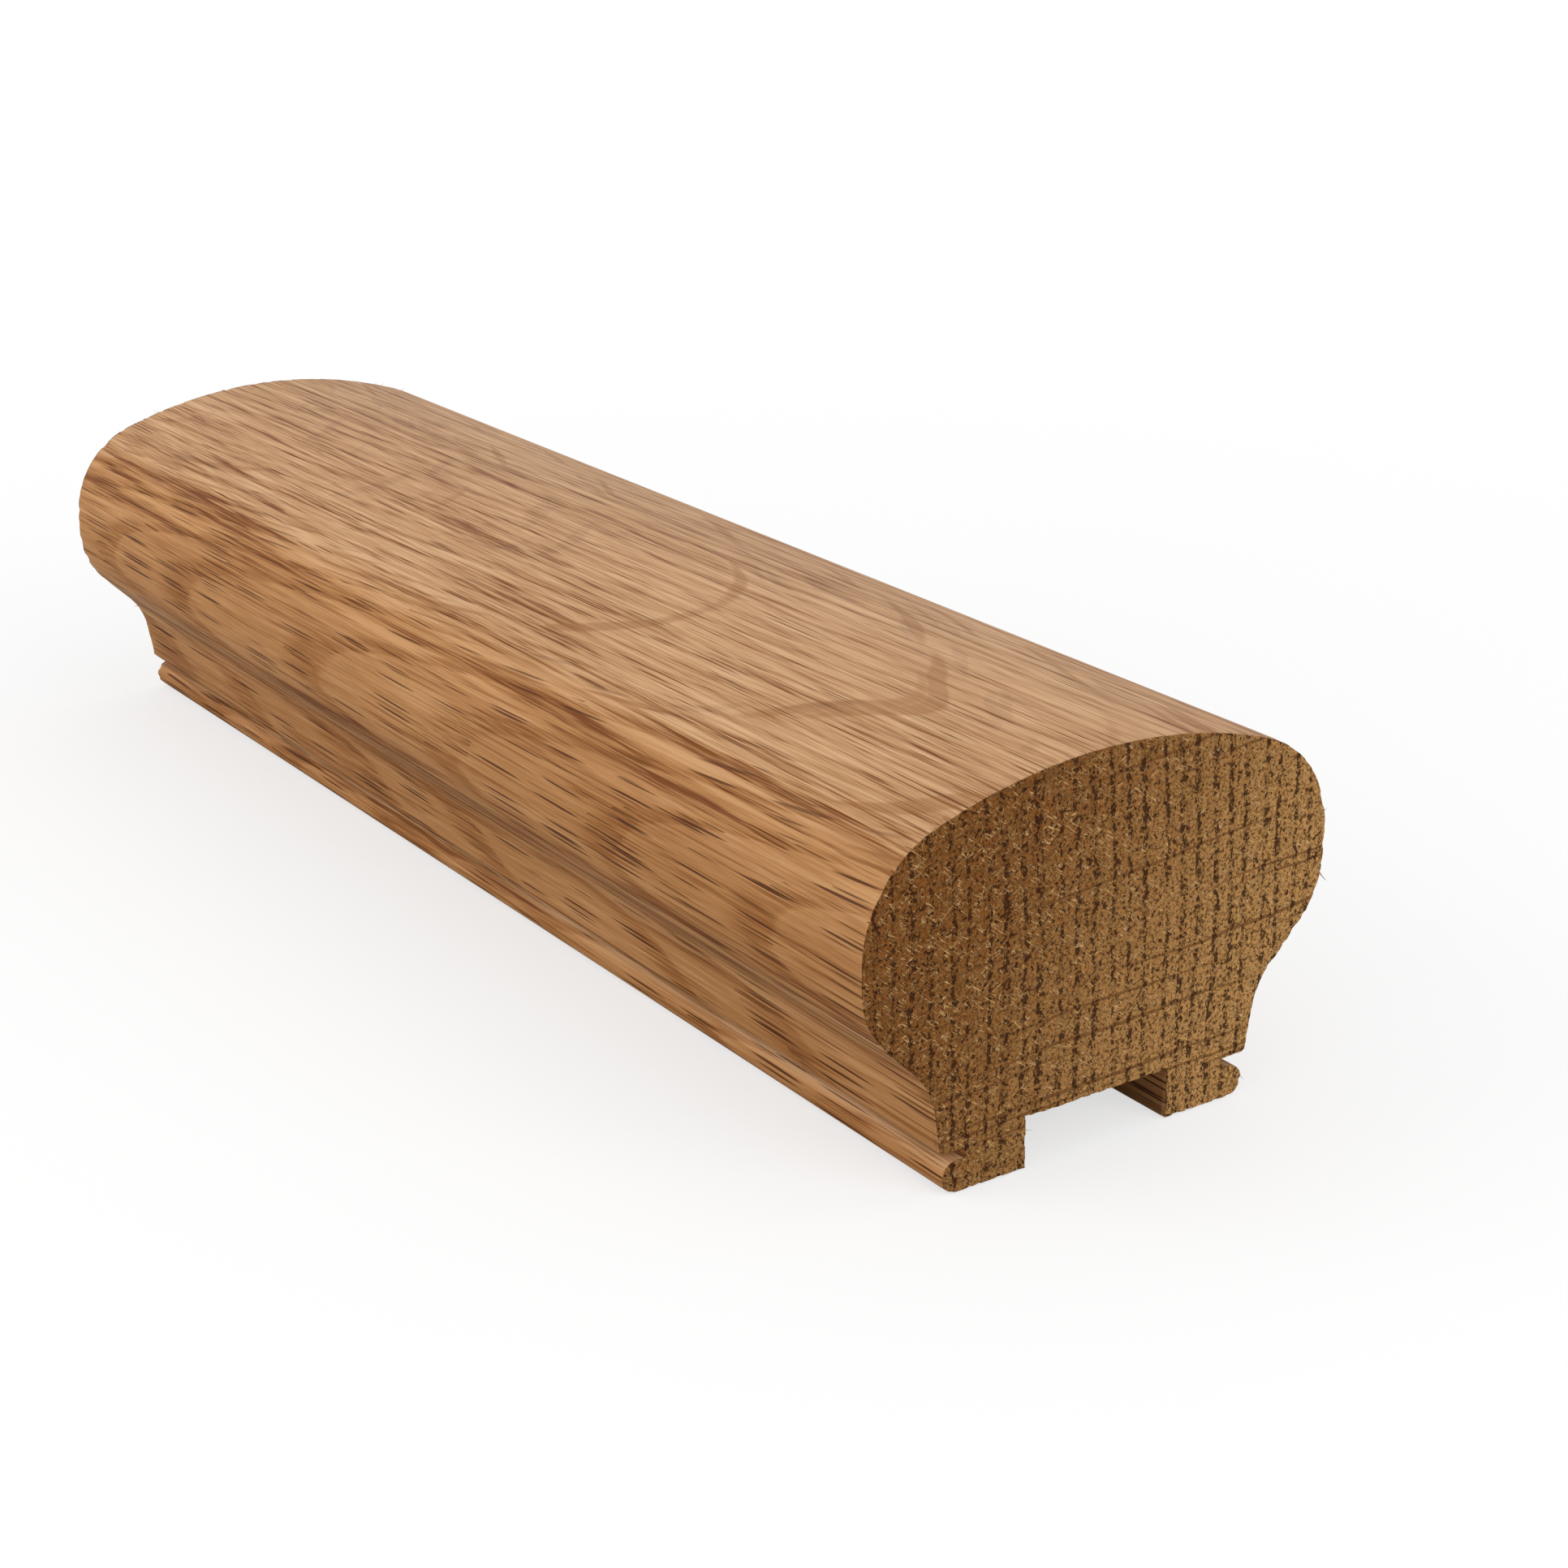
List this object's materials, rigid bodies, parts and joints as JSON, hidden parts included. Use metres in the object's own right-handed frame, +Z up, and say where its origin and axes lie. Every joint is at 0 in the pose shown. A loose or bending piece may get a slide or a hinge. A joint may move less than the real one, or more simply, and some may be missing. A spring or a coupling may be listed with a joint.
{
  "type": "wooden handrail",
  "caption": "Short square-cut length of solid oak handrail: a crowned, mushroom-shaped grip on a coved neck, with a bead along each side and a plough below.",
  "frame": {"origin": "middle of the foot, on the plane the foot lies on, halfway between the two sawn ends", "axes": "+X along the rail towards the sawn end seen in the picture, +Y across the rail, +Z up towards the crown"},
  "size_m": [0.222, 0.07, 0.0504],
  "materials": {
    "oak": "bare planed oak, satin, with rough-sawn ends"
  },
  "bodies": {
    "root": {"handrail": "oak"}
  },
  "joints": []
}
